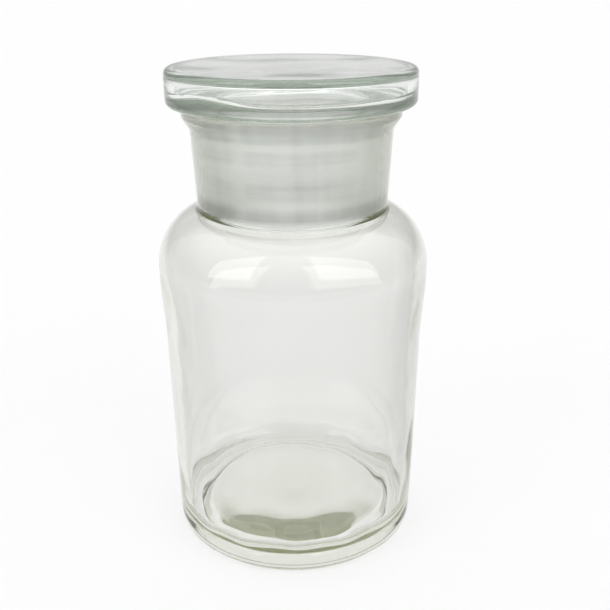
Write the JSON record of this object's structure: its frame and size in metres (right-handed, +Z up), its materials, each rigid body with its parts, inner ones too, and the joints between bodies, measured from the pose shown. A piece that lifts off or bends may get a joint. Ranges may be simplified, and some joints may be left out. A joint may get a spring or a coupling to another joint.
{
  "type": "lidded glass canister",
  "caption": "Wide-mouth clear glass jar with a round shoulder, a thick recessed base and a flat-topped hollow ground-glass stopper that lifts out.",
  "frame": {"origin": "centre of the ring that the jar stands on", "axes": "+Z up along the jar's axis, through the middle of the stopper; X and Y are free, because the object is turned about Z"},
  "size_m": [0.0896, 0.0896, 0.16],
  "materials": {
    "jar_glass": "clear blown glass with a faint grey-green tint, slightly wavy, ground matt inside the neck",
    "stopper_glass": "pressed glass with walls about 3 mm thick and pale green edges, plug ground matt on the outside"
  },
  "bodies": {
    "jar": {"jar_body": "jar_glass"},
    "stopper": {"stopper": "stopper_glass"}
  },
  "joints": [
    {"name": "stopper_lift", "type": "slide", "parent": "jar", "child": "stopper", "axis": [0, 0, 1], "range_m": [0, 0.045]}
  ]
}
